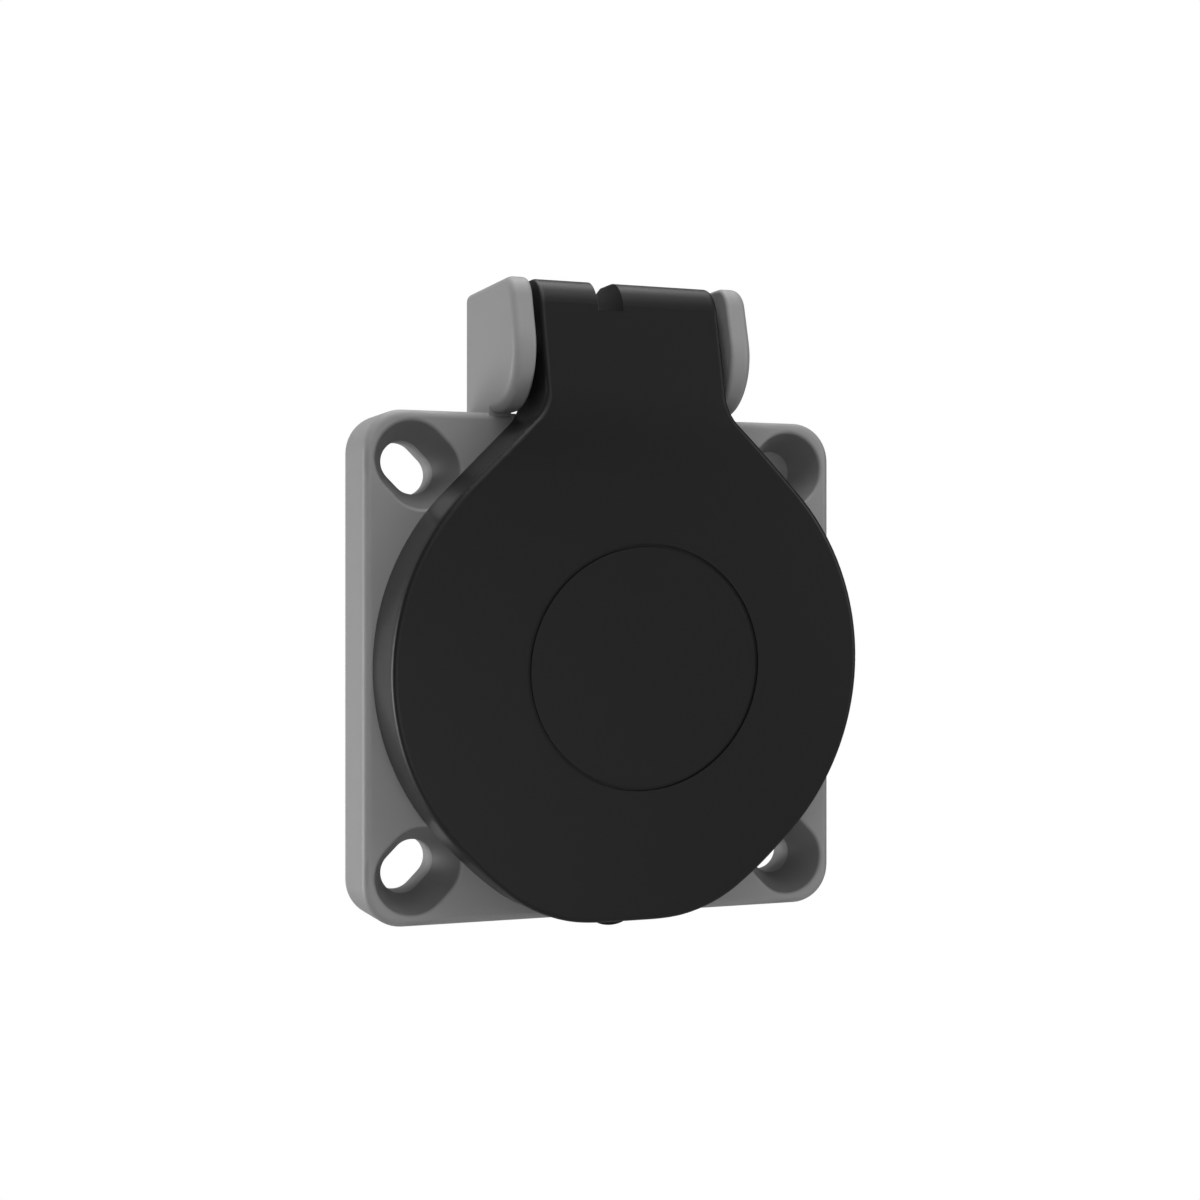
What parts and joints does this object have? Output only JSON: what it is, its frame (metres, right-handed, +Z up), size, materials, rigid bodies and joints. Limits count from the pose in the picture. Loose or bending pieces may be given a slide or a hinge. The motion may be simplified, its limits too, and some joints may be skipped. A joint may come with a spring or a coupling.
{
  "type": "panel mount socket",
  "caption": "Square-flange mains socket with a sprung round lid hinged between its ears, a plug recess with contact holes and earth springs, and rear screw terminals.",
  "frame": {"origin": "centre of the flange's rear face, on the axis of the round barrel", "axes": "+X to the right seen from the front, +Y into the panel along the barrel, +Z up to the hinge"},
  "size_m": [0.05, 0.0455, 0.0638],
  "materials": {
    "housing_plastic": "fine matt grey polyamide",
    "lid_plastic": "satin black polyamide",
    "seal_rubber": "matt black elastomer",
    "contact_face_plastic": "matt dark grey polyamide",
    "terminal_block_plastic": "matt light grey thermoset",
    "contact_brass": "plain rolled brass",
    "zinc_steel": "bright zinc plating",
    "spring_steel": "bright spring steel"
  },
  "bodies": {
    "socket": {"housing": "housing_plastic", "flange_gasket": "seal_rubber", "hinge_pin": "zinc_steel", "lid_spring": "spring_steel", "contact_carrier": "contact_face_plastic", "terminal_block": "terminal_block_plastic", "earth_strap": "spring_steel", "earth_clamp": "contact_brass", "centre_screw": "zinc_steel", "centre_nut": "zinc_steel", "live_contact": "contact_brass", "live_clip": "spring_steel", "neutral_contact": "contact_brass", "neutral_clip": "spring_steel", "live_screw": "zinc_steel", "live_leaf": "spring_steel", "earth_screw": "zinc_steel", "earth_leaf": "spring_steel", "neutral_screw": "zinc_steel", "neutral_leaf": "spring_steel"},
    "lid": {"lid": "lid_plastic", "lid_seal": "seal_rubber"}
  },
  "joints": [
    {"name": "lid_hinge", "type": "hinge", "parent": "socket", "child": "lid", "pos_m": [0, -0.008, 0.0315], "axis": [-1, 0, 0], "range_deg": [0, 110], "stiffness_Nm_per_rad": 0.026, "springref_deg": -65.89, "deforming": ["lid_spring"]}
  ]
}
